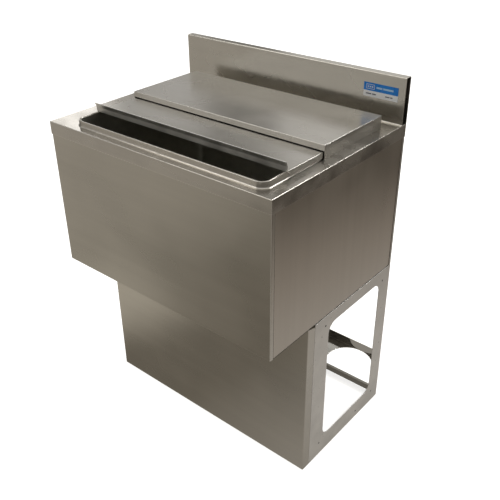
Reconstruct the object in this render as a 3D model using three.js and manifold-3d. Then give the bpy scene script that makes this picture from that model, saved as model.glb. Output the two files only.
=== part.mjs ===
// Underbar ice bin: an insulated tub in a stainless cabinet, with a sliding front lid that runs under a
// lift-off rear lid, a backsplash, and an open-sided base set back under the body.
// Millimetres. X is to the right, Y to the back, Z up. The origin is on the floor under the centre.

import * as THREE from 'three';
import { mergeVertices } from 'three/addons/utils/BufferGeometryUtils.js';
import Module from 'manifold-3d';

// Overall size.
const width = 609.6;
const depth = 457.2;
const deckZ = 749.3; // top of the deck above the floor
const splashHeight = 101.6;
const splashDepth = 19;
const bodyZ = 403.2; // underside of the body above the floor
const baseSetback = 127; // from the front of the body to the front of the base

// Sheet metal.
const sheet = 1.5;
const lidSheet = 1.2;
const frameSheet = 1.9;
const apronHeight = 28.6;
const gap = 0.3; // clearance between loose neighbours

// Opening in the deck, with its raised rim. The opening sits a little to the right of centre.
const openingX = 16;
const openingY = -21.6;
const rimHalfX = 256; // outside of the rim wall
const rimHalfY = 187;
const rimRadius = 20;
const rimWall = 3;
const rimHeight = 13;
const flareOut = 3.5; // how far the rim's foot spreads onto the deck
const tubWall = 1.2;
const tubDepth = 305;
const tubRadius = 17;

// Lids.
const frontLidHalfX = 258.5;
const frontLidFront = -146.2; // front edge of the sliding lid where it rests in use
const frontLidDepth = 197;
const frontLidTop = 14.5; // above the deck
const frontFlangeFoot = 3; // above the deck
const flangeChamfer = 12;
const pullRiser = 9.5;
const pullLean = 4;
const pullHeight = 19; // above the lid's top
const rearLidHalfX = 261.5;
const rearLidFront = -34.3;
const rearLidBack = 170.4;
const rearLidTop = 28.6; // above the deck
const rearFrontFlange = 13.4;

// Base.
const returnDepth = 23; // side returns of the base's front panel
const returnDrop = 6; // the returns stop short of the body
const frameFront = -77.6;
const cutFront = -25.4;
const cutBack = 184.5;
const cutBottom = 48;
const cutTop = 374;
const cutRadius = 26;
const frameFlange = 22;
const holeRadius = 2.6;
const frameHoles = [[-38, 36], [-38, 378], [196.5, 33], [196.5, 373], [124, 18]]; // Y and Z
const shelfZ = 119.5;
const shelfDepth = 150;
const shelfUpstand = 22;
const notchX = 250;
const notchY = 167.8;
const notchRadius = 57.6;
const railHeight = 22;
const topRail = 25;
const boltX = 240;

// Drain.
const drainFlangeRadius = 38;
const shankRadius = 22;
const shankBore = 17;
const pipeRadius = 16.7;
const pipeBore = 13.3;
const tailLength = 60; // below the body
const strainerRadius = 30;

// Places worked out from the sizes above.
const halfX = width / 2;
const front = -depth / 2;
const back = depth / 2;
const baseFront = front + baseSetback;
const apronZ = deckZ - apronHeight;
const tubHalfX = rimHalfX - rimWall - gap;
const tubHalfY = rimHalfY - rimWall - gap;
const tubFloor = deckZ - tubDepth; // top of the tub's floor
const splashFront = back - splashDepth;
const splashTop = deckZ + splashHeight;
const foamTop = deckZ - sheet - gap;
const foamBottom = bodyZ + sheet + gap;

// Materials.
const steel = (color, roughness) => new THREE.MeshStandardMaterial({ color, roughness, metalness: 1 });
const brushed = () => steel('#8d877c', 0.38);
const brushedDark = () => steel('#766e62', 0.4);
const brushedLight = () => steel('#9b968c', 0.34);
const millSteel = () => steel('#a8a39b', 0.45);
const plastic = (color, roughness) => new THREE.MeshStandardMaterial({ color, roughness, metalness: 0 });

// Solids.
const wasm = await Module();
wasm.setup();

function toSolid(geometry) {
  const bare = geometry.clone();
  bare.deleteAttribute('normal');
  bare.deleteAttribute('uv');
  const merged = mergeVertices(bare, 1e-4);
  const vertProperties = new Float32Array(merged.attributes.position.array);
  const triVerts = new Uint32Array(merged.index.array);
  return new wasm.Manifold(new wasm.Mesh({ numProp: 3, vertProperties, triVerts }));
}

function toGeometry(solid) {
  const mesh = solid.getMesh();
  const geometry = new THREE.BufferGeometry();
  geometry.setAttribute('position', new THREE.BufferAttribute(mesh.vertProperties, 3));
  geometry.setIndex(new THREE.BufferAttribute(mesh.triVerts, 1));
  geometry.computeVertexNormals();
  return geometry;
}

function cut(geometry, ...tools) {
  const rest = tools.reduce((solid, tool) => solid.subtract(toSolid(tool)), toSolid(geometry));
  return toGeometry(rest);
}

function join(geometry, ...others) {
  const whole = others.reduce((solid, other) => solid.add(toSolid(other)), toSolid(geometry));
  return toGeometry(whole);
}

// Shapes. A block is given by its limits along X, Y and Z.
function block(x0, x1, y0, y1, z0, z1) {
  const geometry = new THREE.BoxGeometry(x1 - x0, y1 - y0, z1 - z0);
  return geometry.translate((x0 + x1) / 2, (y0 + y1) / 2, (z0 + z1) / 2);
}

function roundedRectangle(x0, x1, y0, y1, radius) {
  const shape = new THREE.Shape();
  shape.absarc(x1 - radius, y0 + radius, radius, -Math.PI / 2, 0);
  shape.absarc(x1 - radius, y1 - radius, radius, 0, Math.PI / 2);
  shape.absarc(x0 + radius, y1 - radius, radius, Math.PI / 2, Math.PI);
  shape.absarc(x0 + radius, y0 + radius, radius, Math.PI, Math.PI * 1.5);
  shape.closePath();
  return shape;
}

function polygon(points) {
  return new THREE.Shape(points.map(([u, v]) => new THREE.Vector2(u, v)));
}

// An outline in X and Y, raised from z0 to z1.
function raise(shape, z0, z1, curveSegments = 6) {
  const settings = { depth: z1 - z0, bevelEnabled: false, curveSegments };
  return new THREE.ExtrudeGeometry(shape, settings).translate(0, 0, z0);
}

// An outline in Y and Z, drawn out from x0 to x1.
function across(shape, x0, x1, curveSegments = 6) {
  const settings = { depth: x1 - x0, bevelEnabled: false, curveSegments };
  const turn = new THREE.Matrix4().makeBasis(
    new THREE.Vector3(0, 1, 0), new THREE.Vector3(0, 0, 1), new THREE.Vector3(1, 0, 0));
  return new THREE.ExtrudeGeometry(shape, settings).applyMatrix4(turn).translate(x0, 0, 0);
}

function rodX(y, z, radius, x0, x1) {
  const geometry = new THREE.CylinderGeometry(radius, radius, x1 - x0, 12);
  return geometry.rotateZ(Math.PI / 2).translate((x0 + x1) / 2, y, z);
}

function rodZ(x, y, radius, z0, z1, segments = 24) {
  const geometry = new THREE.CylinderGeometry(radius, radius, z1 - z0, segments);
  return geometry.rotateX(Math.PI / 2).translate(x, y, (z0 + z1) / 2);
}

// A turned piece: closed outline of radius and height, spun about the drain's upright axis.
function turned(points, segments = 24) {
  const outline = points.map(([radius, z]) => new THREE.Vector2(radius, z));
  outline.push(outline[0].clone());
  const geometry = new THREE.LatheGeometry(outline, segments);
  return geometry.rotateX(Math.PI / 2).translate(openingX, openingY, 0);
}

function openingOutline(inset, radius) {
  return roundedRectangle(
    openingX - rimHalfX + inset, openingX + rimHalfX - inset,
    openingY - rimHalfY + inset, openingY + rimHalfY - inset, radius);
}

const bin = new THREE.Group();

function add(name, geometry, material) {
  const mesh = new THREE.Mesh(geometry, material);
  mesh.name = name;
  bin.add(mesh);
}

// Deck: top sheet with aprons on the front and both sides, and a raised hemmed rim round the opening.
function addDeck() {
  const rear = back - sheet - gap;
  const shell = cut(
    block(-halfX, halfX, front, rear, apronZ, deckZ),
    block(-halfX + sheet, halfX - sheet, front + sheet, back, apronZ - 1, deckZ - sheet));
  const steps = 3;
  const flare = [];
  for (let i = 0; i < steps; i += 1) {
    const spread = flareOut * (1 - i / steps) ** 2;
    const foot = deckZ + (flareOut * i) / steps;
    flare.push(raise(openingOutline(-spread, rimRadius + spread), deckZ - sheet / 2, foot + flareOut / steps));
  }
  const rim = raise(openingOutline(0, rimRadius), deckZ - sheet / 2, deckZ + rimHeight);
  const hole = raise(openingOutline(rimWall, rimRadius - rimWall), deckZ - 10, deckZ + rimHeight + 10);
  add('deck_top', cut(join(shell, rim, ...flare), hole), brushedLight());
}

// Backsplash: a folded channel, open at both ends, whose rear leg runs down behind the deck.
function addBacksplash() {
  const outline = polygon([
    [splashFront, deckZ],
    [splashFront + sheet, deckZ],
    [splashFront + sheet, splashTop - sheet],
    [back - sheet, splashTop - sheet],
    [back - sheet, apronZ],
    [back, apronZ],
    [back, splashTop],
    [splashFront, splashTop],
  ]);
  add('backsplash', across(outline, -halfX, halfX), brushed());
}

// Body panels: the front and back wrap round the corners, and the sides sit between their returns.
function addBody() {
  const frontReturn = 10;
  const backReturn = 8;
  add('body_front_panel', cut(
    block(-halfX, halfX, front, front + frontReturn, bodyZ, apronZ),
    block(-halfX + sheet, halfX - sheet, front + sheet, front + 2 * frontReturn, bodyZ - 1, apronZ + 1),
  ), brushedDark());
  add('body_back_panel', cut(
    block(-halfX, halfX, back - backReturn, back, bodyZ, apronZ),
    block(-halfX + sheet, halfX - sheet, back - 2 * backReturn, back - sheet, bodyZ - 1, apronZ + 1),
  ), brushed());
  for (const [name, side] of [['right', 1], ['left', -1]]) {
    const outer = side * halfX;
    const inner = side * (halfX - sheet);
    add(`body_side_panel_${name}`, block(
      Math.min(outer, inner), Math.max(outer, inner),
      front + frontReturn + gap, back - backReturn - gap, bodyZ, apronZ - gap,
    ), brushedDark());
  }
  const inset = sheet + gap;
  add('body_bottom_panel', cut(
    block(-halfX + inset, halfX - inset, front + inset, back - inset, bodyZ, bodyZ + sheet),
    rodZ(openingX, openingY, pipeRadius + 3, bodyZ - 1, bodyZ + sheet + 1),
    ...boltPlaces().map(([x, y]) => rodZ(x, y, 4.5, bodyZ - 1, bodyZ + sheet + 1, 12)),
  ), millSteel());
}

// Tub: the ice compartment hangs inside the rim.
function addTub() {
  const outlineAt = (inset, radius) => roundedRectangle(
    openingX - tubHalfX + inset, openingX + tubHalfX - inset,
    openingY - tubHalfY + inset, openingY + tubHalfY - inset, radius);
  add('ice_liner', cut(
    raise(outlineAt(0, tubRadius), tubFloor - tubWall, deckZ + rimHeight - 1),
    raise(outlineAt(tubWall, tubRadius - tubWall), tubFloor, deckZ + rimHeight + 1),
    rodZ(openingX, openingY, shankRadius + gap, tubFloor - 5, tubFloor + 5),
  ), brushedDark());
}

// Insulation: five slabs between the tub and the cabinet.
function addInsulation() {
  const tubLeft = openingX - tubHalfX - gap;
  const tubRight = openingX + tubHalfX + gap;
  const tubFront = openingY - tubHalfY - gap;
  const tubBack = openingY + tubHalfY + gap;
  const floor = tubFloor - tubWall - gap;
  const outerX = halfX - sheet - gap;
  const outerFront = front + sheet + gap;
  const outerBack = back - sheet - gap - 1;
  const foam = () => plastic('#e6d9a8', 0.9);
  add('foam_front', block(-outerX, outerX, outerFront, tubFront, floor + gap, foamTop), foam());
  add('foam_back', block(-outerX, outerX, tubBack, outerBack, floor + gap, foamTop), foam());
  add('foam_left', block(-outerX, tubLeft, tubFront + gap, tubBack - gap, floor + gap, foamTop), foam());
  add('foam_right', block(tubRight, outerX, tubFront + gap, tubBack - gap, floor + gap, foamTop), foam());
  const nutClearance = shankRadius + 12;
  add('foam_bottom', cut(
    block(-outerX, outerX, outerFront, outerBack, foamBottom, floor),
    rodZ(openingX, openingY, nutClearance, foamBottom - 1, floor + 1),
    ...boltPlaces().map(([x, y]) => rodZ(x, y, 8, foamBottom - 1, foamBottom + 14, 12)),
  ), foam());
}

// Drain: a flanged shank clamped through the tub's floor, with a strainer, and a pipe down to the outside.
function addDrain() {
  const seat = tubFloor + 1.5; // top of the gasket
  const flangeTop = seat + 5;
  const shankFoot = tubFloor - 30;
  const recess = 2.5;
  add('drain_gasket', turned([
    [shankRadius + gap, tubFloor], [drainFlangeRadius, tubFloor],
    [drainFlangeRadius, seat], [shankRadius + gap, seat],
  ]), plastic('#2b2b2b', 0.8));
  add('drain_body', turned([
    [shankBore, shankFoot], [shankRadius, shankFoot], [shankRadius, seat], [drainFlangeRadius, seat],
    [drainFlangeRadius - 3, flangeTop], [strainerRadius + gap, flangeTop],
    [strainerRadius + gap, flangeTop - recess], [shankBore, flangeTop - recess],
  ]), steel('#b5b1aa', 0.25));
  const nutTop = tubFloor - tubWall - gap;
  add('drain_locknut', cut(
    rodZ(openingX, openingY, shankRadius + 9, nutTop - 9, nutTop, 6),
    rodZ(openingX, openingY, shankRadius + gap, nutTop - 12, nutTop + 3),
  ), steel('#a9a18c', 0.4));
  const strainerTop = flangeTop - 0.5;
  const holes = [rodZ(openingX, openingY, 2.5, strainerTop - 5, strainerTop + 5, 8)];
  for (const [radius, count] of [[9, 6], [18, 12]]) {
    for (let i = 0; i < count; i += 1) {
      const angle = (2 * Math.PI * i) / count;
      const x = openingX + radius * Math.cos(angle);
      const y = openingY + radius * Math.sin(angle);
      holes.push(rodZ(x, y, 2.5, strainerTop - 5, strainerTop + 5, 8));
    }
  }
  const plate = rodZ(openingX, openingY, strainerRadius, flangeTop - recess, strainerTop);
  add('drain_strainer', cut(plate, ...holes), steel('#b9b6b0', 0.25));
  add('drain_tailpiece', turned([
    [pipeBore, bodyZ - tailLength], [pipeRadius, bodyZ - tailLength],
    [pipeRadius, shankFoot + 22], [pipeBore, shankFoot + 22],
  ]), millSteel());
}

function boltPlaces() {
  const places = [];
  for (const y of [baseFront + sheet + topRail / 2, back - frameSheet - topRail / 2 - 2]) {
    places.push([-boltX, y], [boltX, y]);
  }
  return places;
}

// Base: front panel with side returns, two cut-out side frames, rails and a shelf across the back.
function addBase() {
  add('base_front_panel', cut(
    block(-halfX, halfX, baseFront, baseFront + returnDepth, 0, bodyZ),
    block(-halfX + sheet, halfX - sheet, baseFront + sheet, baseFront + 2 * returnDepth, -1, bodyZ + 1),
    block(-halfX - 1, halfX + 1, baseFront + sheet, baseFront + 2 * returnDepth, bodyZ - returnDrop, bodyZ + 1),
  ), brushedDark());

  for (const [name, side] of [['right', 1], ['left', -1]]) {
    const between = (a, b) => [Math.min(side * a, side * b), Math.max(side * a, side * b)];
    const plate = across(
      polygon([[frameFront, 0], [back, 0], [back, bodyZ], [frameFront, bodyZ]]),
      ...between(halfX - frameSheet, halfX));
    const rearFlange = block(
      ...between(halfX - frameFlange, halfX - frameSheet / 2), back - frameSheet, back, 0, bodyZ);
    const topFlange = block(
      ...between(halfX - frameFlange, halfX - frameSheet / 2), frameFront, back, bodyZ - frameSheet, bodyZ);
    const opening = across(
      roundedRectangle(cutFront, cutBack, cutBottom, cutTop, cutRadius),
      ...between(halfX - 10, halfX + 5));
    const holes = frameHoles.map(([y, z]) => rodX(y, z, holeRadius, ...between(halfX - 10, halfX + 5)));
    add(`base_side_frame_${name}`, cut(join(plate, rearFlange, topFlange), opening, ...holes), millSteel());
  }

  const innerX = halfX - frameFlange - gap;
  const railLip = 8;
  add('base_rear_rail', across(polygon([
    [back - frameSheet, 1.5], [back, 1.5], [back, 1.5 + railHeight], [back - railLip, 1.5 + railHeight],
    [back - railLip, 1.5 + railHeight - frameSheet], [back - frameSheet, 1.5 + railHeight - frameSheet],
  ]), -innerX, innerX), brushed());

  for (const [name, y0] of [['front', baseFront + sheet + gap], ['rear', back - frameSheet - gap - topRail - 2]]) {
    add(`base_top_rail_${name}`, cut(join(
      block(-innerX, innerX, y0, y0 + topRail, bodyZ - frameSheet, bodyZ),
      block(-innerX, innerX, y0 + topRail - frameSheet, y0 + topRail, bodyZ - topRail, bodyZ),
    ), ...boltPlaces().map(([x, y]) => rodZ(x, y, 4.5, bodyZ - 5, bodyZ + 5, 12))), millSteel());
  }
  addShelf();
  addBolts();
}

// Shelf: a narrow plate with a rear upstand. Its ends are cut back by round-ended notches for pipes.
function addShelf() {
  const innerX = halfX - frameSheet - gap;
  const shelfBack = back - frameSheet - gap;
  const shelfFront = back - shelfDepth;
  const below = shelfZ - sheet - 5;
  const above = shelfZ + 5;
  const notches = [];
  for (const side of [1, -1]) {
    const x0 = side * (notchX - notchRadius);
    const x1 = side * (innerX + 5);
    notches.push(rodZ(side * notchX, notchY, notchRadius, below, above, 48));
    notches.push(block(Math.min(x0, x1), Math.max(x0, x1), shelfFront - 5, notchY, below, above));
  }
  const plate = block(-innerX, innerX, shelfFront, shelfBack, shelfZ - sheet, shelfZ);
  const upstand = block(-innerX, innerX, shelfBack - sheet, shelfBack, shelfZ - sheet, shelfZ + shelfUpstand);
  add('rear_shelf', join(cut(plate, ...notches), upstand), brushedLight());
}

// Bolts: hex heads under the top rails, with their shanks through the body's bottom panel.
function addBolts() {
  const head = bodyZ - frameSheet;
  boltPlaces().forEach(([x, y], index) => {
    const bolt = join(rodZ(x, y, 6.5, head - 5, head, 6), rodZ(x, y, 3.8, head - 1, bodyZ + 12, 12));
    add(`base_bolt_${index + 1}`, bolt, steel('#b9b6b0', 0.3));
  });
}

// Front lid: slides on the rim. Its side flanges hang outside the rim, and its front edge turns up
// into a pull that leans forward above a short riser.
function addFrontLid() {
  const top = deckZ + frontLidTop;
  const under = top - lidSheet;
  const rear = frontLidFront + frontLidDepth;
  const plate = block(
    openingX - frontLidHalfX, openingX + frontLidHalfX, frontLidFront, rear, under, top);
  const flangeOutline = () => polygon([
    [frontLidFront, top], [frontLidFront, under], [frontLidFront + flangeChamfer, deckZ + frontFlangeFoot],
    [rear, deckZ + frontFlangeFoot], [rear, top],
  ]);
  const right = openingX + frontLidHalfX;
  const left = openingX - frontLidHalfX;
  const pull = polygon([
    [frontLidFront + lidSheet, under],
    [frontLidFront + lidSheet, top + pullRiser],
    [frontLidFront + lidSheet - pullLean, top + pullHeight],
    [frontLidFront - lidSheet - pullLean, top + pullHeight],
    [frontLidFront, top + pullRiser],
    [frontLidFront, under],
  ]);
  add('front_lid', join(
    plate,
    across(flangeOutline(), right - lidSheet, right),
    across(flangeOutline(), left, left + lidSheet),
    across(pull, left, right),
  ), brushedLight());
}

// Rear lid: a box-shaped cover over the back of the rim, open below its front edge for the sliding lid.
function addRearLid() {
  const left = openingX - rearLidHalfX;
  const right = openingX + rearLidHalfX;
  const top = deckZ + rearLidTop;
  add('rear_lid', cut(
    block(left, right, rearLidFront, rearLidBack, deckZ + gap, top),
    block(
      left + lidSheet, right - lidSheet, rearLidFront + lidSheet, rearLidBack - lidSheet,
      deckZ - 1, top - lidSheet),
    block(
      left + lidSheet, right - lidSheet, rearLidFront - 1, rearLidFront + 2 * lidSheet,
      deckZ - 1, top - rearFrontFlange),
  ), brushed());
}

// Sticker on the backsplash.
function addLabel() {
  add('label', block(208, 289, splashFront - 0.4, splashFront, deckZ + 47.5, deckZ + 77.5), plastic('#0064be', 0.4));
}

addDeck();
addBacksplash();
addBody();
addTub();
addInsulation();
addDrain();
addBase();
addFrontLid();
addRearLid();
addLabel();

export default bin;
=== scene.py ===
# Underbar ice bin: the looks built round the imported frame. Metres, Z up, front towards -Y.
import math

import bmesh
import bpy
from mathutils import Matrix, Vector


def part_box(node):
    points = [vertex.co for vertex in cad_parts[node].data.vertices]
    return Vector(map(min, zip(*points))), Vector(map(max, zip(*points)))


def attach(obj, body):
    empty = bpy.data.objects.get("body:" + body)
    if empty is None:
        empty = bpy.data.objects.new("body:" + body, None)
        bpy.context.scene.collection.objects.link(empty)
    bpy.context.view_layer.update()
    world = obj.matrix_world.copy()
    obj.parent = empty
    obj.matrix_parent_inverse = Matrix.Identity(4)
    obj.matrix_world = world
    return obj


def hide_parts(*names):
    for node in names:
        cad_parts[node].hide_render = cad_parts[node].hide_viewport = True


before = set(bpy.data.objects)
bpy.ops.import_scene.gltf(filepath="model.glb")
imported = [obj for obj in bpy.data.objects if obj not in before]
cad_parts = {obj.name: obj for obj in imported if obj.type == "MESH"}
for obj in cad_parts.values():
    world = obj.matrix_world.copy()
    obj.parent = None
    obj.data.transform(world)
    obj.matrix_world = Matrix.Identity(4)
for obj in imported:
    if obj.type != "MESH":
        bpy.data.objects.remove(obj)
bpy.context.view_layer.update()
print("frame loaded")

scene = bpy.context.scene

cameraView = {
    "place": (0.9329, -1.0436, 1.2667),
    "azimuth": 40.915,  # degrees, 0 looks along +Y
    "elevation": 29.819,
    "roll": -0.991,
    "lens": 49.78,
    "shiftX": 0.0257,
    "shiftY": -0.0236,
    "farthest": 100,
}


def addCamera():
    lens = bpy.data.cameras.new("camera")
    lens.lens = cameraView["lens"]
    lens.shift_x = cameraView["shiftX"]
    lens.shift_y = cameraView["shiftY"]
    lens.clip_end = cameraView["farthest"]
    camera = bpy.data.objects.new("camera", lens)
    scene.collection.objects.link(camera)
    turn = Matrix.Rotation(math.radians(cameraView["azimuth"]), 4, "Z")
    tilt = Matrix.Rotation(math.radians(90 - cameraView["elevation"]), 4, "X")
    roll = Matrix.Rotation(math.radians(cameraView["roll"]), 4, "Z")
    camera.matrix_world = Matrix.Translation(cameraView["place"]) @ turn @ tilt @ roll
    scene.camera = camera


# Each soft box: where it stands, what it faces, its size, its power in watts and its colour.
softBoxes = {
    "leftWindow": {"place": (-3.68, 1.6, 2.1), "aim": (-0.2, 0, 0.75), "size": (1.6, 1.0), "power": 8,
                   "colour": (1.0, 0.99, 0.97)},
    "leftWall": {"place": (-2.63, 2.36, 1.87), "aim": (-0.2, 0.1, 0.78), "size": (0.5, 0.8), "power": 0.5,
                 "colour": (1.0, 0.98, 0.96)},
    "frontWall": {"place": (-2.3, -3.0, 1.95), "aim": (0, 0.2, 0.78), "size": (2.5, 1.5), "power": 6,
                  "colour": (1.0, 0.97, 0.92)},
    "backWall": {"place": (-1.33, 3.0, 2.0), "aim": (0.1, 0, 0.78), "size": (1.3, 1.0), "power": 2.2,
                 "colour": (1.0, 0.98, 0.95)},
    "overRear": {"place": (0.6, 2.7, 3.7), "aim": (0, 0, 0.78), "size": (1.2, 1.2), "power": 50,
                 "colour": (1.0, 0.99, 0.97)},
    "frontLeft": {"place": (-1.9, -1.7, 3.4), "aim": (0, 0, 0.5), "size": (2.2, 1.0), "power": 15,
                  "colour": (1.0, 0.96, 0.90)},
}
# What the steel mirrors of the room, from the horizon up to the ceiling.
roomLight = {
    "horizon": (0.22, 0.21, 0.195),
    "walls": (0.25, 0.24, 0.22),
    "ceiling": (0.85, 0.83, 0.78),
    "wallTop": 0.5,  # how far up the walls go, 1 is straight overhead
}


def addLights():
    for name, box in softBoxes.items():
        light = bpy.data.lights.new(name, "AREA")
        light.shape = "RECTANGLE"
        light.size, light.size_y = box["size"]
        light.energy = box["power"]
        light.color = box["colour"]
        lamp = bpy.data.objects.new(name, light)
        scene.collection.objects.link(lamp)
        place = Vector(box["place"])
        aim = Vector(box["aim"]) - place
        lamp.matrix_world = Matrix.Translation(place) @ aim.to_track_quat("-Z", "Y").to_matrix().to_4x4()


def addWorld():
    world = bpy.data.worlds.new("studio")
    scene.world = world
    world.use_nodes = True
    nodes, links = world.node_tree.nodes, world.node_tree.links
    nodes.clear()
    coordinates = nodes.new("ShaderNodeTexCoord")
    split = nodes.new("ShaderNodeSeparateXYZ")
    links.new(coordinates.outputs["Generated"], split.inputs[0])
    ramp = nodes.new("ShaderNodeValToRGB")
    ramp.color_ramp.elements[0].color = (*roomLight["horizon"], 1)
    ramp.color_ramp.elements[1].color = (*roomLight["ceiling"], 1)
    ramp.color_ramp.elements.new(roomLight["wallTop"]).color = (*roomLight["walls"], 1)
    links.new(split.outputs["Z"], ramp.inputs["Fac"])
    room = nodes.new("ShaderNodeBackground")
    links.new(ramp.outputs["Color"], room.inputs["Color"])
    backdrop = nodes.new("ShaderNodeBackground")
    backdrop.inputs["Color"].default_value = (1, 1, 1, 1)
    path = nodes.new("ShaderNodeLightPath")
    choose = nodes.new("ShaderNodeMixShader")
    links.new(path.outputs["Is Camera Ray"], choose.inputs["Fac"])
    links.new(room.outputs[0], choose.inputs[1])
    links.new(backdrop.outputs[0], choose.inputs[2])
    out = nodes.new("ShaderNodeOutputWorld")
    links.new(choose.outputs[0], out.inputs["Surface"])
    scene.view_settings.view_transform = "Standard"  # keeps the white behind the bin white


# The camera sees plain paper, while the steel mirrors a warm shop floor with light and dark strips.
# Each stop is a distance to the right, and a colour.
studioFloor = {
    "size": 30,
    "paper": (0.90, 0.90, 0.89),
    "glow": 0.73,  # lifts the paper nearly to white
    "reach": 2.0,  # the stops lie between minus and plus this
    "slant": 0.25,  # how much the distance back counts beside the distance to the right
    "stops": (
        (-2.0, (0.41, 0.38, 0.335)),
        (-1.15, (0.41, 0.38, 0.33)),
        (-0.80, (0.20, 0.183, 0.153)),
        (-0.50, (0.22, 0.198, 0.165)),
        (-0.10, (0.20, 0.18, 0.15)),
        (0.65, (0.52, 0.495, 0.465)),
        (0.95, (0.37, 0.33, 0.29)),
        (1.18, (0.27, 0.235, 0.20)),
        (1.38, (0.045, 0.038, 0.03)),
        (1.78, (0.05, 0.043, 0.035)),
        (2.0, (0.24, 0.22, 0.19)),
    ),
    "patch": (0.58, 0.54, 0.47),  # a lighter place on the floor in front of the base, at the left
    "patchAt": (-0.62, -0.42, 0),
    "patchReach": (0.12, 0.42),
}


def mixColours(tree, factor, first, second):
    # each colour is a socket or three fixed numbers; 6, 7 and 2 are the node's colour sockets
    node = tree.nodes.new("ShaderNodeMix")
    node.data_type = "RGBA"
    tree.links.new(factor, node.inputs[0])
    for slot, colour in ((6, first), (7, second)):
        if isinstance(colour, (tuple, list)):
            node.inputs[slot].default_value = (*colour, 1)
        else:
            tree.links.new(colour, node.inputs[slot])
    return node.outputs[2]


def studioPaper():
    material = bpy.data.materials.new("studioPaper")
    material.use_nodes = True
    nodes, links = material.node_tree.nodes, material.node_tree.links
    nodes.clear()
    coordinates = nodes.new("ShaderNodeTexCoord")
    split = nodes.new("ShaderNodeSeparateXYZ")
    links.new(coordinates.outputs["Object"], split.inputs[0])
    slanted = nodes.new("ShaderNodeMath")
    slanted.operation = "MULTIPLY_ADD"
    slanted.inputs[1].default_value = studioFloor["slant"]
    links.new(split.outputs["Y"], slanted.inputs[0])
    links.new(split.outputs["X"], slanted.inputs[2])
    across = nodes.new("ShaderNodeMapRange")
    reach = studioFloor["reach"]
    across.inputs["From Min"].default_value = -reach
    across.inputs["From Max"].default_value = reach
    links.new(slanted.outputs[0], across.inputs["Value"])
    tint = nodes.new("ShaderNodeValToRGB")
    stops = studioFloor["stops"]
    for element, (along, colour) in zip(tint.color_ramp.elements, (stops[0], stops[-1])):
        element.position = (along + reach) / (2 * reach)
        element.color = (*colour, 1)
    for along, colour in stops[1:-1]:
        tint.color_ramp.elements.new((along + reach) / (2 * reach)).color = (*colour, 1)
    links.new(across.outputs[0], tint.inputs["Fac"])
    away = nodes.new("ShaderNodeVectorMath")
    away.operation = "DISTANCE"
    links.new(coordinates.outputs["Object"], away.inputs[0])
    away.inputs[1].default_value = studioFloor["patchAt"]
    fade = nodes.new("ShaderNodeMapRange")
    fade.interpolation_type = "SMOOTHSTEP"
    fade.inputs["From Min"].default_value, fade.inputs["From Max"].default_value = studioFloor["patchReach"]
    links.new(away.outputs["Value"], fade.inputs["Value"])
    patched = mixColours(material.node_tree, fade.outputs[0], studioFloor["patch"], tint.outputs["Color"])
    around = nodes.new("ShaderNodeEmission")
    links.new(patched, around.inputs["Color"])
    paper = nodes.new("ShaderNodeBsdfDiffuse")
    paper.inputs["Color"].default_value = (*studioFloor["paper"], 1)
    glow = nodes.new("ShaderNodeEmission")
    glow.inputs["Strength"].default_value = studioFloor["glow"]
    lit = nodes.new("ShaderNodeAddShader")
    links.new(paper.outputs[0], lit.inputs[0])
    links.new(glow.outputs[0], lit.inputs[1])
    path = nodes.new("ShaderNodeLightPath")
    choose = nodes.new("ShaderNodeMixShader")
    links.new(path.outputs["Is Camera Ray"], choose.inputs["Fac"])
    links.new(around.outputs[0], choose.inputs[1])
    links.new(lit.outputs[0], choose.inputs[2])
    out = nodes.new("ShaderNodeOutputMaterial")
    links.new(choose.outputs[0], out.inputs["Surface"])
    return material


def addFloor():
    bm = bmesh.new()
    bmesh.ops.create_grid(bm, x_segments=1, y_segments=1, size=studioFloor["size"] / 2)
    mesh = bpy.data.meshes.new("floor")
    bm.to_mesh(mesh)
    bm.free()
    mesh.materials.append(studioPaper())
    floor = bpy.data.objects.new("floor", mesh)
    scene.collection.objects.link(floor)


addCamera()
addLights()
addWorld()
addFloor()
print("camera, lights and floor placed")


def newGroup(name, inputs, outputs):
    group = bpy.data.node_groups.new(name, "ShaderNodeTree")
    for label, kind, value in inputs:
        socket = group.interface.new_socket(name=label, in_out="INPUT", socket_type=kind)
        if value is not None:
            socket.default_value = value
    for label, kind in outputs:
        group.interface.new_socket(name=label, in_out="OUTPUT", socket_type=kind)
    return group, group.nodes.new("NodeGroupInput"), group.nodes.new("NodeGroupOutput")


def mathNode(tree, operation, first, second):
    node = tree.nodes.new("ShaderNodeMath")
    node.operation = operation
    for slot, value in enumerate((first, second)):
        if isinstance(value, (int, float)):
            node.inputs[slot].default_value = value
        else:
            tree.links.new(value, node.inputs[slot])
    return node.outputs[0]


def noiseNode(tree, vector, scale, look):
    node = tree.nodes.new("ShaderNodeTexNoise")
    node.inputs["Detail"].default_value = look["detail"]
    node.inputs["Roughness"].default_value = look["harsh"]
    tree.links.new(vector, node.inputs["Vector"])
    tree.links.new(scale, node.inputs["Scale"])
    return node.outputs["Fac"]


def fadeNode(tree, value, look, curve):
    # 0 below the low value and 1 above the high one, with a soft step between them
    node = tree.nodes.new("ShaderNodeMapRange")
    node.interpolation_type = curve
    node.inputs["From Min"].default_value = look["low"]
    node.inputs["From Max"].default_value = look["high"]
    tree.links.new(value, node.inputs["Value"])
    return node.outputs[0]


# The surface effects. A scale counts the marks in a metre, a share is a part of another effect's scale.
effects = {
    "grain": {"scale": 900.0, "detail": 3, "harsh": 0.65},
    "streak": {"share": 0.06, "detail": 2, "harsh": 0.5},
    "smear": {"scale": 9.0, "detail": 2, "harsh": 0.5, "low": 0.22, "high": 0.78},
    "wave": {"share": 0.35, "detail": 1, "harsh": 0.4},
    "speck": {"scale": 150.0, "detail": 2, "harsh": 0.6, "low": 0.66, "high": 0.80},
    # the lighter folds and edges: partly rubbed wear, partly a painted highlight
    "rubShine": {"width": 0.002, "gain": 6.0, "samples": 4},
}


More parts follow.
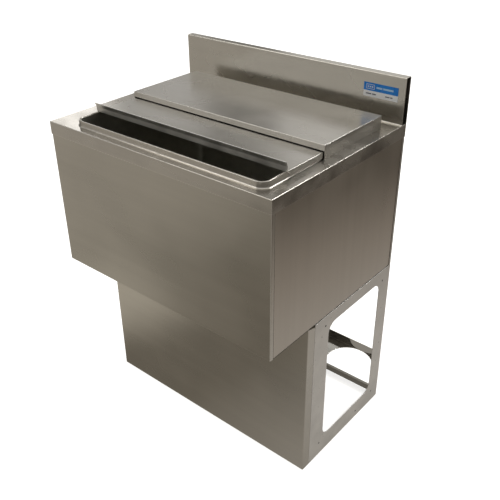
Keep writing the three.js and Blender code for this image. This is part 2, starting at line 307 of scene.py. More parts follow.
def grainGroup():
    # belt-polishing lines and broader streaks: noise drawn out along one direction
    group, start, end = newGroup(
        "beltGrain",
        [("Vector", "NodeSocketVector", None), ("Stretch", "NodeSocketVector", (1, 1, 1)),
         ("Fineness", "NodeSocketFloat", effects["grain"]["scale"])],
        [("Grain", "NodeSocketFloat"), ("Streak", "NodeSocketFloat")])
    stretch = group.nodes.new("ShaderNodeVectorMath")
    stretch.operation = "MULTIPLY"
    group.links.new(start.outputs["Vector"], stretch.inputs[0])
    group.links.new(start.outputs["Stretch"], stretch.inputs[1])
    fine = noiseNode(group, stretch.outputs[0], start.outputs["Fineness"], effects["grain"])
    broad = mathNode(group, "MULTIPLY", start.outputs["Fineness"], effects["streak"]["share"])
    streak = noiseNode(group, stretch.outputs[0], broad, effects["streak"])
    group.links.new(fine, end.inputs["Grain"])
    group.links.new(streak, end.inputs["Streak"])
    return group


def handlingGroup():
    # wiping marks and finger smears as soft patches, and slow waves in the sheet
    group, start, end = newGroup(
        "handling",
        [("Vector", "NodeSocketVector", None), ("Size", "NodeSocketFloat", effects["smear"]["scale"])],
        [("Smear", "NodeSocketFloat"), ("Wave", "NodeSocketFloat")])
    smear = noiseNode(group, start.outputs["Vector"], start.outputs["Size"], effects["smear"])
    spread = fadeNode(group, smear, effects["smear"], "SMOOTHERSTEP")
    slow = mathNode(group, "MULTIPLY", start.outputs["Size"], effects["wave"]["share"])
    wave = noiseNode(group, start.outputs["Vector"], slow, effects["wave"])
    group.links.new(spread, end.inputs["Smear"])
    group.links.new(wave, end.inputs["Wave"])
    return group


def speckGroup():
    # small dark pits and stains, far apart
    group, start, end = newGroup(
        "stainSpecks",
        [("Vector", "NodeSocketVector", None), ("Fineness", "NodeSocketFloat", effects["speck"]["scale"])],
        [("Speck", "NodeSocketFloat")])
    spots = noiseNode(group, start.outputs["Vector"], start.outputs["Fineness"], effects["speck"])
    group.links.new(fadeNode(group, spots, effects["speck"], "SMOOTHSTEP"), end.inputs["Speck"])
    return group


def rubAndShineGroup():
    # where a fold or an edge is lighter than the flat beside it: partly rubbed wear, partly a painted
    # highlight along the fold
    group, start, end = newGroup(
        "edgeRubAndShine",
        [("Width", "NodeSocketFloat", effects["rubShine"]["width"]),
         ("Gain", "NodeSocketFloat", effects["rubShine"]["gain"])],
        [("RubShine", "NodeSocketFloat")])
    eased = group.nodes.new("ShaderNodeBevel")
    eased.samples = effects["rubShine"]["samples"]
    group.links.new(start.outputs["Width"], eased.inputs["Radius"])
    plain = group.nodes.new("ShaderNodeNewGeometry")
    dot = group.nodes.new("ShaderNodeVectorMath")
    dot.operation = "DOT_PRODUCT"
    group.links.new(eased.outputs[0], dot.inputs[0])
    group.links.new(plain.outputs["Normal"], dot.inputs[1])
    away = mathNode(group, "SUBTRACT", 1.0, dot.outputs["Value"])
    rubShine = mathNode(group, "MULTIPLY", away, start.outputs["Gain"])
    limit = group.nodes.new("ShaderNodeClamp")
    group.links.new(rubShine, limit.inputs["Value"])
    group.links.new(limit.outputs[0], end.inputs["RubShine"])
    return group


beltGrain = grainGroup()
handling = handlingGroup()
edgeRubAndShine = rubAndShineGroup()
stainSpecks = speckGroup()

# One entry for each steel finish. The grain runs along the axis whose stretch is small, and roughness
# stays within half the spread of its value. Stain is how dark the specks are.
steelFinishes = {
    "topSteel": {"colour": (0.60, 0.585, 0.555), "rough": 0.25, "spread": 0.10, "along": (0.02, 1, 1),
                 "depth": 0.012, "wave": 0.02, "size": 8},
    "deckSteel": {"colour": (0.57, 0.545, 0.505), "rough": 0.25, "spread": 0.12, "along": (0.02, 1, 1),
                  "depth": 0.012, "wave": 0.03, "size": 14},
    # the pull's steel: rougher from hands, and a lighter copy of the lid's steel as painted light
    "pullSteelDulledAndLit": {"colour": (0.74, 0.73, 0.70), "rough": 0.48, "spread": 0.12, "along": (0.02, 1, 1),
                  "depth": 0.012, "wave": 0.02, "size": 20},
    "splashSteel": {"colour": (0.62, 0.60, 0.555), "rough": 0.26, "spread": 0.10, "along": (0.02, 1, 1),
                    "depth": 0.012, "wave": 0.02, "size": 7},
    "frontSteel": {"colour": (0.56, 0.535, 0.485), "rough": 0.30, "spread": 0.10, "along": (0.02, 1, 1),
                   "depth": 0.012, "wave": 0.0, "size": 5},
    "railSteel": {"colour": (0.26, 0.25, 0.225), "rough": 0.36, "spread": 0.10, "along": (0.02, 1, 1),
                  "depth": 0.012, "wave": 0.0, "size": 8},
    "sideSteel": {"colour": (0.54, 0.50, 0.445), "rough": 0.32, "spread": 0.10, "along": (1, 1, 0.02),
                  "depth": 0.012, "wave": 0.03, "size": 5},
    "frameSteel": {"colour": (0.78, 0.765, 0.735), "rough": 0.50, "spread": 0.08, "along": (1, 0.3, 0.3),
                   "depth": 0.02, "wave": 0.01, "size": 22, "stain": 0.8},
    "backSteel": {"colour": (0.62, 0.605, 0.57), "rough": 0.40, "spread": 0.04, "along": (0.02, 1, 1),
                  "depth": 0.012, "wave": 0.0, "size": 6},
    "shelfSteel": {"colour": (0.66, 0.65, 0.62), "rough": 0.12, "spread": 0.06, "along": (0.02, 1, 1),
                   "depth": 0.01, "wave": 0.015, "size": 9},
    "linerSteel": {"colour": (0.62, 0.61, 0.56), "rough": 0.44, "spread": 0.14, "along": (1, 1, 0.03),
                   "depth": 0.01, "wave": 0.02, "size": 8},
    "drainSteel": {"colour": (0.68, 0.67, 0.65), "rough": 0.18, "spread": 0.08, "along": (1, 1, 0.2),
                   "depth": 0.02, "wave": 0.0, "size": 40},
    "pipeSteel": {"colour": (0.58, 0.57, 0.55), "rough": 0.42, "spread": 0.12, "along": (1, 1, 0.1),
                  "depth": 0.04, "wave": 0.0, "size": 40},
    "boltSteel": {"colour": (0.66, 0.65, 0.62), "rough": 0.28, "spread": 0.10, "along": (1, 1, 1),
                  "depth": 0.03, "wave": 0.0, "size": 60},
}


def startMaterial(name):
    material = bpy.data.materials.new(name)
    material.use_nodes = True
    tree = material.node_tree
    return material, tree, tree.nodes["Principled BSDF"]


def useGroup(tree, group, values, vector=None):
    node = tree.nodes.new("ShaderNodeGroup")
    node.node_tree = group
    if vector is not None:
        tree.links.new(vector, node.inputs["Vector"])
    for label, value in values.items():
        node.inputs[label].default_value = value
    return node.outputs


def remap(tree, value, low, high):
    node = tree.nodes.new("ShaderNodeMapRange")
    node.inputs["To Min"].default_value = low
    node.inputs["To Max"].default_value = high
    tree.links.new(value, node.inputs["Value"])
    return node.outputs[0]


def tintBetween(tree, factor, first, second):
    node = tree.nodes.new("ShaderNodeValToRGB")
    node.color_ramp.elements[0].color = (*first, 1)
    node.color_ramp.elements[1].color = (*second, 1)
    tree.links.new(factor, node.inputs["Fac"])
    return node.outputs["Color"]


def bumpNode(tree, height, strength, distance, normal=None):
    node = tree.nodes.new("ShaderNodeBump")
    node.inputs["Strength"].default_value = strength
    node.inputs["Distance"].default_value = distance
    tree.links.new(height, node.inputs["Height"])
    if normal is not None:
        tree.links.new(normal, node.inputs["Normal"])
    return node.outputs["Normal"]


# What all steel finishes share: colours as parts of the finish's own colour, and heights in metres.
steelShared = {
    "dark": 0.88,
    "light": 1.12,
    "rubbedAndShoneTint": 1.35,
    "rubbedAndShoneCap": 0.95,
    "stained": 0.4,
    "streakShare": 0.5,
    "smearShare": 0.5,
    "stain": 0.15,
    "waveHeight": 0.01,
    "grainHeight": 0.0004,
}


def makeSteel(name, look):
    material, tree, shader = startMaterial(name)
    colour = look["colour"]
    place = tree.nodes.new("ShaderNodeTexCoord").outputs["Object"]
    grain = useGroup(tree, beltGrain, {"Stretch": look["along"]}, place)
    hands = useGroup(tree, handling, {"Size": look["size"]}, place)
    rubShine = useGroup(tree, edgeRubAndShine, {})
    streaks = mathNode(tree, "MULTIPLY", grain["Streak"], steelShared["streakShare"])
    smears = mathNode(tree, "MULTIPLY", hands["Smear"], steelShared["smearShare"])
    dark = [steelShared["dark"] * part for part in colour]
    light = [min(steelShared["light"] * part, 1) for part in colour]
    plain = tintBetween(tree, mathNode(tree, "ADD", streaks, smears), dark, light)
    # folds and edges are painted lighter, partly as rubbed wear and partly as a painted highlight
    bright = [min(steelShared["rubbedAndShoneTint"] * part, steelShared["rubbedAndShoneCap"]) for part in colour]
    wornAndShone = mixColours(tree, rubShine["RubShine"], plain, bright)
    specks = useGroup(tree, stainSpecks, {}, place)
    stain = mathNode(tree, "MULTIPLY", specks["Speck"], look.get("stain", steelShared["stain"]))
    stained = mixColours(tree, stain, wornAndShone, [steelShared["stained"] * part for part in colour])
    tree.links.new(stained, shader.inputs["Base Color"])
    low = look["rough"] - look["spread"] / 2
    high = look["rough"] + look["spread"] / 2
    tree.links.new(remap(tree, hands["Smear"], low, high), shader.inputs["Roughness"])
    shader.inputs["Metallic"].default_value = 1
    wavy = bumpNode(tree, hands["Wave"], look["wave"], steelShared["waveHeight"])
    grainy = bumpNode(tree, grain["Grain"], look["depth"], steelShared["grainHeight"], wavy)
    tree.links.new(grainy, shader.inputs["Normal"])
    return material


steel = {name: makeSteel(name, look) for name, look in steelFinishes.items()}

# Rubber, the painted shade for gaps and holes, foam and the sticker: two colours and two roughnesses to
# wander between.
softFinishes = {
    "gasketRubber": {"colours": ((0.012, 0.012, 0.012), (0.03, 0.03, 0.03)), "rough": (0.55, 0.75),
                     "size": 60, "depth": 0.15},
    # painted shade: the dark put into the side gaps and the fixing holes
    "paintedShade": {"colours": ((0.012, 0.010, 0.008), (0.025, 0.021, 0.017)), "rough": (0.6, 0.8),
                 "size": 40, "depth": 0.1},
    "foam": {"colours": ((0.55, 0.45, 0.24), (0.72, 0.62, 0.38)), "rough": (0.8, 0.95),
             "size": 240, "depth": 0.6},
    "stickerBlue": {"colours": ((0.002, 0.20, 0.70), (0.004, 0.24, 0.78)), "rough": (0.22, 0.34),
                    "size": 30, "depth": 0.02},
    "stickerWhite": {"colours": ((0.88, 0.91, 0.95), (0.93, 0.95, 0.98)), "rough": (0.25, 0.38),
                     "size": 30, "depth": 0.02},
    "stickerInk": {"colours": ((0.10, 0.12, 0.16), (0.16, 0.18, 0.22)), "rough": (0.3, 0.45),
                   "size": 30, "depth": 0.02},
    "stickerPale": {"colours": ((0.42, 0.64, 0.90), (0.48, 0.70, 0.94)), "rough": (0.25, 0.38),
                    "size": 30, "depth": 0.02},
}
softHeight = 0.0005  # of the bump on all of them


def makeSoft(name, look):
    material, tree, shader = startMaterial(name)
    place = tree.nodes.new("ShaderNodeTexCoord").outputs["Object"]
    hands = useGroup(tree, handling, {"Size": look["size"]}, place)
    tree.links.new(tintBetween(tree, hands["Smear"], *look["colours"]), shader.inputs["Base Color"])
    tree.links.new(remap(tree, hands["Smear"], *look["rough"]), shader.inputs["Roughness"])
    tree.links.new(bumpNode(tree, hands["Smear"], look["depth"], softHeight), shader.inputs["Normal"])
    return material


soft = {name: makeSoft(name, look) for name, look in softFinishes.items()}
print("finishes made")

easedEdges = {"segments": 2, "angle": 50}  # edges sharper than this angle in degrees are eased
hair = 1e-5  # places nearer to each other than this are taken as one


def showPiece(name, bm, materials, body, replaced=(), wall=0.0, edge=0.0):
    # turns a finished bmesh into a piece; wall thickens a sheet inwards, edge is how much edges are eased
    mesh = bpy.data.meshes.new(name)
    bm.to_mesh(mesh)
    bm.free()
    mesh.shade_smooth()
    for material in materials:
        mesh.materials.append(material)
    piece = bpy.data.objects.new(name, mesh)
    scene.collection.objects.link(piece)
    if wall:
        thick = piece.modifiers.new("wall", "SOLIDIFY")
        thick.thickness = wall
        thick.offset = -1
        thick.use_even_offset = True
    if edge:
        ease = piece.modifiers.new("edge", "BEVEL")
        ease.width = edge
        ease.segments = easedEdges["segments"]
        ease.limit_method = "ANGLE"
        ease.angle_limit = math.radians(easedEdges["angle"])
    shade = piece.modifiers.new("shading", "WEIGHTED_NORMAL")
    shade.keep_sharp = True
    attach(piece, body)
    if replaced:
        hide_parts(*replaced)


def turnOut(bm, direction):
    # makes the face that lies squarest to a direction look that way, and the rest agree with it
    bmesh.ops.recalc_face_normals(bm, faces=bm.faces)
    bm.normal_update()
    way = Vector(direction)
    best = max(bm.faces, key=lambda f: abs(f.normal.dot(way)) * f.calc_area())
    if best.normal.dot(way) < 0:
        bmesh.ops.reverse_faces(bm, faces=bm.faces)


def onPlane(edge, axis, value, reach=hair):
    return all(abs(vertex.co[axis] - value) < reach for vertex in edge.verts)


def spans(edge, axis, least):
    # whether an edge runs further than this along an axis
    return abs(edge.verts[0].co[axis] - edge.verts[1].co[axis]) > least


def foldRound(bm, edges, radius, segments=4):
    bmesh.ops.bevel(bm, geom=list(edges), offset=radius, offset_type="OFFSET", segments=segments,
                    profile=0.5, affect="EDGES", clamp_overlap=True, material=-1)


def roundedFace(bm, low, high, z, radius, segments=8):
    # one flat face with rounded corners
    made = bmesh.ops.create_grid(bm, x_segments=1, y_segments=1, size=0.5)
    corners = made["verts"]
    size = Vector((high[0] - low[0], high[1] - low[1], 1))
    bmesh.ops.scale(bm, vec=size, verts=corners)
    middle = Vector(((low[0] + high[0]) / 2, (low[1] + high[1]) / 2, z))
    bmesh.ops.translate(bm, vec=middle, verts=corners)
    bmesh.ops.bevel(bm, geom=corners, offset=radius, offset_type="OFFSET", segments=segments,
                    profile=0.5, affect="VERTICES", material=-1)
    return max(bm.faces, key=lambda f: len(f.verts))


def stepFace(bm, face, steps):
    # walks a face inwards and up or down, leaving a ring of faces behind at each step
    for inward, up in steps:
        bmesh.ops.inset_region(bm, faces=[face], thickness=inward, depth=up,
                               use_even_offset=True, use_boundary=True)


def arcSteps(radius, start, stop, count, along, rise):
    # steps round an arc, from two functions of the angle that give how far in and how far up
    angles = [math.radians(start + (stop - start) * i / count) for i in range(count + 1)]
    pairs = zip(angles, angles[1:])
    return [(radius * (along(b) - along(a)), radius * (rise(b) - rise(a))) for a, b in pairs]


def extrudeEdges(bm, edges, move):
    # draws edges out into faces and gives back the edges at the far side
    made = bmesh.ops.extrude_edge_only(bm, edges=list(edges))["geom"]
    bmesh.ops.translate(bm, vec=Vector(move), verts=[v for v in made if isinstance(v, bmesh.types.BMVert)])
    return [e for e in made if isinstance(e, bmesh.types.BMEdge)]


def profileSheet(points, move):
    # an open outline, drawn out into a sheet
    bm = bmesh.new()
    vertices = [bm.verts.new(point) for point in points]
    edges = [bm.edges.new(pair) for pair in zip(vertices, vertices[1:])]
    extrudeEdges(bm, edges, move)
    return bm


def block(bm, low, high, material):
    # a box between two corners, wearing one of the piece's materials
    made = bmesh.ops.create_cube(bm, size=1)["verts"]
    low, high = Vector(low), Vector(high)
    bmesh.ops.scale(bm, vec=high - low, verts=made)
    bmesh.ops.translate(bm, vec=(low + high) / 2, verts=made)
    for face in {f for v in made for f in v.link_faces}:
        face.material_index = material


copyMerge = {"distance": 2e-6, "angle": 1}  # faces within this angle in degrees become one


def nodeCopy(node):
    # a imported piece's own shape, its loose triangles merged back into flat faces
    bm = bmesh.new()
    bm.from_mesh(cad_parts[node].data)
    bmesh.ops.remove_doubles(bm, verts=bm.verts, dist=copyMerge["distance"])
    bmesh.ops.dissolve_limit(bm, angle_limit=math.radians(copyMerge["angle"]), verts=bm.verts,
                             edges=bm.edges)
    return bm


deckLow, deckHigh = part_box("deck_top")
linerLow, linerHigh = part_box("ice_liner")
deck = {
    "rimHeight": 0.013,
    "rimWall": 0.003,
    "rimSpace": 0.0033,  # the rim stands this far outside the tub
    "rimRadius": 0.020,
    "rimDrop": 0.009,  # how far the rim turns down on the tub's side
    "rimSteps": 8,
    "cove": 0.0035,
    "coveSteps": 4,
    "fold": 0.0016,
    "sheet": 0.0013,
    "edge": 0.00025,
}
deckZ = deckHigh.z - deck["rimHeight"]


def buildDeck():
    bm = bmesh.new()
    foot = deck["rimSpace"] + deck["cove"]
    low = (linerLow.x - foot, linerLow.y - foot)
    high = (linerHigh.x + foot, linerHigh.y + foot)
    face = roundedFace(bm, low, high, deckZ, deck["rimRadius"] + deck["cove"])
    roundOff = deck["rimWall"] / 2
    straight = deck["rimHeight"] - deck["cove"] - roundOff
    stepFace(bm, face, arcSteps(deck["cove"], 0, 90, deck["coveSteps"], math.sin, lambda a: -math.cos(a)))
    stepFace(bm, face, [(0, straight)])
    stepFace(bm, face, arcSteps(roundOff, 0, 180, deck["rimSteps"], lambda a: -math.cos(a), math.sin))
    stepFace(bm, face, [(0, -deck["rimDrop"])])
    bmesh.ops.delete(bm, geom=[face], context="FACES")
    left, right, front, back = deckLow.x, deckHigh.x, deckLow.y, deckHigh.y
    middle = Vector(((low[0] + high[0]) / 2, (low[1] + high[1]) / 2, deckZ))
    rimFoot = [e for e in bm.edges if e.is_boundary and onPlane(e, 2, deckZ)]
    before = set(bm.verts)
    extrudeEdges(bm, rimFoot, (0, 0, 0))
    spread = [v for v in bm.verts if v not in before]
    for vertex in spread:  # the flat runs out to the four corners of the deck
        vertex.co.x = right if vertex.co.x > middle.x else left
        vertex.co.y = back if vertex.co.y > middle.y else front
    bmesh.ops.remove_doubles(bm, verts=spread, dist=hair)
    skirt = [e for e in bm.edges if e.is_boundary and onPlane(e, 2, deckZ) and not onPlane(e, 1, back)]
    extrudeEdges(bm, skirt, (0, 0, deckLow.z - deckZ))
    turnOut(bm, (0, 0, 1))
    apron = deckZ - deckLow.z
    outline = [e for e in bm.edges if not e.is_boundary and
               (onPlane(e, 0, left) or onPlane(e, 0, right) or onPlane(e, 1, front))]
    foldRound(bm, [e for e in outline if onPlane(e, 2, deckZ) or spans(e, 2, apron / 2)], deck["fold"])
    showPiece("deckTop", bm, [steel["deckSteel"]], "cabinet", ["deck_top"],
              deck["sheet"], deck["edge"])


splashLow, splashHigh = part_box("backsplash")
splash = {
    "depth": 0.019,
    "fold": 0.003,
    "sheet": 0.0014,
    "edge": 0.00025,
    "toe": 0.0035,  # the cove along the foot, lying on the deck
    "toeRound": 0.8,  # its radius as a share of the toe
    "lift": 0.0004,  # keeps the toe clear of the deck
}


def buildSplash():
    front, back = splashHigh.y - splash["depth"], splashHigh.y
    left, right = splashLow.x, splashHigh.x
    foot = deckZ + splash["lift"]
    bm = profileSheet([
        (left, front - splash["toe"], foot),
        (left, front, foot),
        (left, front, splashHigh.z),
        (left, back, splashHigh.z),
        (left, back, splashLow.z),
    ], (right - left, 0, 0))
    turnOut(bm, (0, 0, 1))
    along = [e for e in bm.edges if not e.is_boundary and spans(e, 0, (right - left) / 2)]
    toe = [e for e in along if onPlane(e, 2, foot)]
    foldRound(bm, [e for e in along if onPlane(e, 2, splashHigh.z)], splash["fold"])
    foldRound(bm, toe, splash["toe"] * splash["toeRound"])
    showPiece("backsplash_channel", bm, [steel["splashSteel"]], "cabinet",
              ["backsplash"], splash["sheet"], splash["edge"])


shell = {
    "fold": 0.0024,
    "sheet": 0.0012,
    "edge": 0.00025,
    "sideEdge": 0.0004,
    "inset": 0.0011,  # how far the front and the sides stand back under the deck
    "returnTrim": 0.0004,  # the panels stop this far below the deck
    "seam": 0.0010,
    "seamDepth": 0.0004,
    # the side stops this far above the base; the dark showing in this gap is painted shade
    "footGap": 0.0018,  # the dark line between the side and the base
}


def wrappedPanel(name, node, finish, faceSign, inset):
    # a panel across the width whose two ends turn back round the corners
    low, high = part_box(node)
    outside = low.y if faceSign < 0 else high.y
    inside = high.y if faceSign < 0 else low.y
    outside -= faceSign * inset
    left, right = low.x + inset, high.x - inset
    bm = profileSheet([
        (left, inside, low.z), (left, outside, low.z), (right, outside, low.z), (right, inside, low.z),
    ], (0, 0, high.z - low.z - shell["returnTrim"]))
    turnOut(bm, (0, faceSign, 0))
    corners = [e for e in bm.edges if not e.is_boundary and onPlane(e, 1, outside)]
    foldRound(bm, corners, shell["fold"])
    showPiece(name, bm, [steel[finish]], "cabinet", [node], shell["sheet"], shell["edge"])


def buildBody():
    wrappedPanel("bodyFront", "body_front_panel", "frontSteel", -1, shell["inset"])
    wrappedPanel("bodyBack", "body_back_panel", "backSteel", 1, 0.0)
    for side, sign in (("right", 1), ("left", -1)):
        node = "body_side_panel_" + side
        low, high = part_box(node)
        x = high.x - shell["inset"] if sign > 0 else low.x + shell["inset"]
        foot = low.z + shell["footGap"]
        bm = profileSheet([(x, low.y + shell["seam"], foot), (x, high.y - shell["seam"], foot)],
                          (0, 0, high.z - foot))
        turnOut(bm, (sign, 0, 0))
        showPiece("bodySide_" + side, bm, [steel["sideSteel"]], "cabinet", [node],
                  shell["sheet"], shell["sideEdge"])
        buildSeamShade(side, sign, low, high, foot)


def buildSeamShade(side, sign, low, high, foot):
    # a dark strip in the gaps along the foot and the two ends of a side: painted shade, where only shade
    # falls
    outer = (high.x if sign > 0 else low.x) - sign * (shell["inset"] + shell["seamDepth"])
    inner = outer - sign * shell["sheet"]
    x0, x1 = min(inner, outer), max(inner, outer)
    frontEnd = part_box("body_front_panel")[1].y
    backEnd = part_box("body_back_panel")[0].y
    bm = bmesh.new()
    for y0, y1, z0, z1 in ((frontEnd, backEnd, low.z, foot),
                           (frontEnd, low.y + shell["seam"], foot, high.z),
                           (high.y - shell["seam"], backEnd, foot, high.z)):
        block(bm, (x0, y0, z0), (x1, y1, z1), 0)
    showPiece("sideGapShade_" + side, bm, [soft["paintedShade"]], "cabinet")


tub = {
    "wall": 0.0012,
    "radius": 0.0158,  # of the upright corners
    "fillet": 0.014,  # round the floor
    "filletSteps": 6,
    "drainHole": 0.0223,
    "drainHoleSides": 40,
    "edge": 0.0002,
}


def buildTub():
    bm = bmesh.new()
    low = (linerLow.x + tub["wall"], linerLow.y + tub["wall"])
    high = (linerHigh.x - tub["wall"], linerHigh.y - tub["wall"])
    face = roundedFace(bm, low, high, linerHigh.z, tub["radius"])
    floorZ = linerLow.z + tub["wall"]
    stepFace(bm, face, [(0, -(linerHigh.z - floorZ - tub["fillet"]))])
    stepFace(bm, face, arcSteps(tub["fillet"], 0, 90, tub["filletSteps"],
                                lambda a: -math.cos(a), lambda a: -math.sin(a)))
    floorEdge = list(face.edges)
    bmesh.ops.delete(bm, geom=[face], context="FACES_ONLY")
    drainLow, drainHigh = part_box("drain_body")
    middle = (drainLow + drainHigh) / 2
    hole = bmesh.ops.create_circle(bm, cap_ends=False, segments=tub["drainHoleSides"],
                                   radius=tub["drainHole"],
                                   matrix=Matrix.Translation((middle.x, middle.y, floorZ)))
    ring = {e for v in hole["verts"] for e in v.link_edges}
    bmesh.ops.bridge_loops(bm, edges=floorEdge + list(ring))
    turnOut(bm, (0, 0, 1))
    showPiece("iceTub", bm, [steel["linerSteel"]], "cabinet", ["ice_liner"],
              tub["wall"], tub["edge"])


slidingLid = {
    "sheet": 0.0012,
    "fold": 0.0013,
    "edge": 0.0003,
    "top": 0.0145,  # above the deck
    "riser": 0.0095,  # the pull stands straight up to here
    "pull": 0.019,  # and leans forward to here
    "lean": 0.004,
    "chamfer": 0.012,  # the sides' lower front corners are cut back this far
}


def buildSlidingLid():
    low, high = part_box("front_lid")
    top = deckZ + slidingLid["top"]
    front = low.y + slidingLid["lean"] + slidingLid["sheet"]
    bend = front + slidingLid["sheet"]  # where the top turns up into the pull
    bm = profileSheet([(low.x, bend, top), (low.x, high.y, top)], (high.x - low.x, 0, 0))
    sides = [e for e in bm.edges if onPlane(e, 0, low.x) or onPlane(e, 0, high.x)]
    drop = extrudeEdges(bm, sides, (0, 0, low.z - top))
    for vertex in {v for e in drop for v in e.verts if abs(v.co.y - bend) < hair}:
        vertex.co.y += slidingLid["chamfer"]
    nose = [e for e in bm.edges if onPlane(e, 1, bend) and onPlane(e, 2, top)]
    riser = extrudeEdges(bm, nose, (0, 0, slidingLid["riser"]))
    riser = [e for e in riser if onPlane(e, 2, top + slidingLid["riser"])]
    extrudeEdges(bm, riser, (0, -slidingLid["lean"], slidingLid["pull"] - slidingLid["riser"]))
    turnOut(bm, (0, 0, 1))
    folds = [e for e in bm.edges if not e.is_boundary and
             (onPlane(e, 2, top) or onPlane(e, 2, top + slidingLid["riser"]))]
    foldRound(bm, folds, slidingLid["fold"], 3)
    bm.normal_update()
    # the pull's steel is also painted lighter than the lid's, as painted light on the pull
    for face in bm.faces:  # hands have dulled the pull
        if face.calc_center_median().z > top + slidingLid["fold"]:
            face.material_index = 1
    showPiece("slidingLid", bm, [steel["topSteel"], steel["pullSteelDulledAndLit"]], "front_lid",
              ["front_lid"], slidingLid["sheet"], slidingLid["edge"])


coverLid = {
    "sheet": 0.0012,
    "fold": 0.0013,
    "edge": 0.0003,
    "frontFlange": 0.0119,  # stops short of the sliding lid; the other three reach the deck
}


def buildCoverLid():
    low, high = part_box("rear_lid")
    bm = profileSheet([(low.x, low.y, high.z), (low.x, high.y, high.z)], (high.x - low.x, 0, 0))
    extrudeEdges(bm, [e for e in bm.edges if e.is_boundary], (0, 0, -coverLid["frontFlange"]))
    lower = high.z - coverLid["frontFlange"]
    deeper = [e for e in bm.edges if onPlane(e, 2, lower) and not onPlane(e, 1, low.y)]
    extrudeEdges(bm, deeper, (0, 0, low.z - lower))
    turnOut(bm, (0, 0, 1))
    inner = [e for e in bm.edges if not e.is_boundary]
    tops = [e for e in inner if onPlane(e, 2, high.z)]
    corners = [e for e in inner if spans(e, 2, coverLid["fold"]) and
               (onPlane(e, 1, low.y) or onPlane(e, 1, high.y))]
    foldRound(bm, tops + corners, coverLid["fold"])
    showPiece("coverLid", bm, [steel["topSteel"]], "rear_lid", ["rear_lid"],
              coverLid["sheet"], coverLid["edge"])


base = {
    "fold": 0.002,
    "railFold": 0.0016,
    "railFoldSteps": 3,
    "sheet": 0.0014,
    "edge": 0.0003,
    "returnGap": 0.006,  # the front's returns stop this far below the body
    "near": 1e-4,  # how near a plane a copied edge counts as lying on it
    # how far back from the front foot and how far up each fixing hole is
    "holes": ((0.0396, 0.036), (0.0396, 0.378), (0.2741, 0.033), (0.2741, 0.373), (0.2016, 0.018)),
    # the dark discs in the fixing holes are painted shade
    "shadeRadius": 0.002574,  # just under that of the holes
    "shadeSides": 20,
    "shadeDepth": 0.0004,
    "shadeWall": 0.0008,
}
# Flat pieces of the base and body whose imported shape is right: each gets eased edges and its finish.
flatPieces = {
    "base_side_frame_right": ("frameSteel", "mill_steel"),
    "base_side_frame_left": ("frameSteel", "mill_steel"),
    "base_top_rail_front": ("frameSteel", "mill_steel"),
    "base_top_rail_rear": ("frameSteel", "mill_steel"),
    "base_rear_rail": ("railSteel", "cabinet_steel"),
    "rear_shelf": ("shelfSteel", "polished_steel"),
    "body_bottom_panel": ("frameSteel", "mill_steel"),
}


def buildBaseFront():
    low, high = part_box("base_front_panel")
    bm = profileSheet([
        (low.x, high.y, low.z), (low.x, low.y, low.z), (high.x, low.y, low.z), (high.x, high.y, low.z),
    ], (0, 0, high.z - low.z))
    turnOut(bm, (0, -1, 0))
    foldRound(bm, [e for e in bm.edges if not e.is_boundary and onPlane(e, 1, low.y)], base["fold"])
    bend = low.y + base["fold"] + hair
    for vertex in bm.verts:
        if vertex.co.z > high.z - hair and vertex.co.y > bend:
            vertex.co.z -= base["returnGap"]
    showPiece("baseFront", bm, [steel["frontSteel"]], "cabinet", ["base_front_panel"],
              base["sheet"], base["edge"])


def foldedEdges(bm, node):
    # the rear edge of a side frame and the top edge of the rear rail are folds, so they are rounder
    low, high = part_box(node)
    rear = [e for e in bm.edges if onPlane(e, 1, high.y, base["near"])]
    if node.startswith("base_side"):
        outer = high.x if node.endswith("right") else low.x
        return [e for e in rear if onPlane(e, 0, outer, base["near"])]
    if node == "base_rear_rail":
        return [e for e in rear if onPlane(e, 2, high.z, base["near"])]
    return []


def buildFlatPieces():
    for node, (finish, slotName) in flatPieces.items():
        bm = nodeCopy(node)
        folds = foldedEdges(bm, node)
        if folds:
            foldRound(bm, folds, base["railFold"], base["railFoldSteps"])
        showPiece(node + "_sheet", bm, [steel[finish]], "cabinet", [node], 0.0, base["edge"])


def shadeHoles(side, sign):
    # a dark disc in each fixing hole of a side frame: painted shade for the dark behind the hole
    low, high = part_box("base_side_frame_" + side)
    outer = high.x if sign > 0 else low.x
    turn = Matrix.Rotation(math.radians(90), 4, "Y")
    bm = bmesh.new()
    for back, up in base["holes"]:
        centre = Matrix.Translation((outer - sign * base["shadeDepth"], low.y + back, low.z + up))
        bmesh.ops.create_circle(bm, cap_ends=True, segments=base["shadeSides"], radius=base["shadeRadius"],
                                matrix=centre @ turn)
    bm.normal_update()
    bmesh.ops.reverse_faces(bm, faces=[f for f in bm.faces if f.normal.x * sign < 0])
    showPiece("holeShade_" + side, bm, [soft["paintedShade"]], "cabinet", wall=base["shadeWall"])


sticker = {
    "band": 0.57,  # the share of the height that is blue
    "ink": 0.00012,  # how far the printed shapes stand proud
    "badge": {"inset": 0.006, "rise": 0.0035, "width": 0.020, "height": 0.010, "line": 0.0009},
    "dots": 3,
    "dotSize": 0.0028,
    "upperBar": 0.00384,  # height of the bars on the blue
    "lowerBar": 0.0024,
    "upperBars": ((0.030, 0.014), (0.046, 0.024)),  # start and length of each plain bar
    "lowerBars": ((0.006, 0.013), (0.021, 0.009), (0.052, 0.010), (0.064, 0.005)),
}


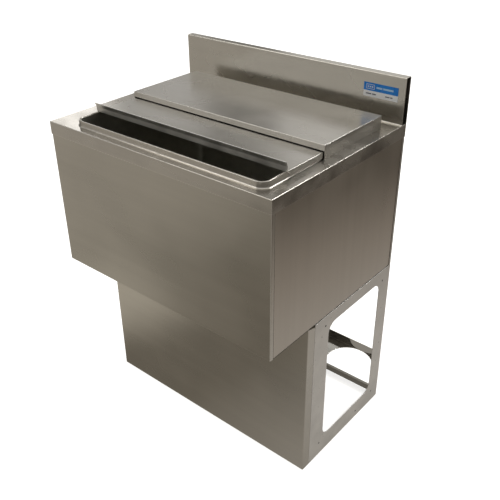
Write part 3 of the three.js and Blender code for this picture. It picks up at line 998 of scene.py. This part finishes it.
def buildSticker():
    low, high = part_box("label")
    split = high.z - sticker["band"] * (high.z - low.z)
    white, blue, ink, pale = range(4)
    bm = bmesh.new()
    block(bm, low, (high.x, high.y, split), white)
    block(bm, (low.x, low.y, split), high, blue)

    def printed(x, z, width, tall, material):
        block(bm, (x, low.y - sticker["ink"], z), (x + width, low.y, z + tall), material)

    # a plain frame of four bars round a row of small blocks
    badge = sticker["badge"]
    x, z = low.x + badge["inset"], split + badge["rise"]
    wide, tall, line = badge["width"], badge["height"], badge["line"]
    printed(x, z, wide, line, white)
    printed(x, z + tall - line, wide, line, white)
    printed(x, z, line, tall, white)
    printed(x + wide - line, z, line, tall, white)
    dots, dot = sticker["dots"], sticker["dotSize"]
    for step in range(1, dots + 1):
        printed(x + step * wide / (dots + 1) - dot / 2, z + (tall - dot) / 2, dot, dot, white)
    for start, length in sticker["upperBars"]:
        bar = sticker["upperBar"]
        printed(low.x + start, z + (tall - bar) / 2, length, bar, pale)
    for start, length in sticker["lowerBars"]:
        bar = sticker["lowerBar"]
        printed(low.x + start, (low.z + split - bar) / 2, length, bar, ink)
    finishes = [soft["stickerWhite"], soft["stickerBlue"], soft["stickerInk"], soft["stickerPale"]]
    showPiece("sticker", bm, finishes, "cabinet", ["label"])


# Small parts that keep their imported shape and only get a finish.
carried = {
    "drain_body": steel["drainSteel"],
    "drain_strainer": steel["drainSteel"],
    "drain_locknut": steel["drainSteel"],
    "drain_tailpiece": steel["pipeSteel"],
    "drain_gasket": soft["gasketRubber"],
}


def dressNodes():
    for name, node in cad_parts.items():
        material = carried.get(name)
        if name.startswith("foam_"):
            material = soft["foam"]
        elif name.startswith("base_bolt_"):
            material = steel["boltSteel"]
        if material is not None:
            node.data.materials.clear()
            node.data.materials.append(material)


buildDeck()
buildSplash()
buildBody()
print("cabinet built")
buildTub()
buildSlidingLid()
buildCoverLid()
print("tub and lids built")
buildBaseFront()
buildFlatPieces()
shadeHoles("right", 1)
shadeHoles("left", -1)
buildSticker()
dressNodes()
print("base, sticker and small parts built")
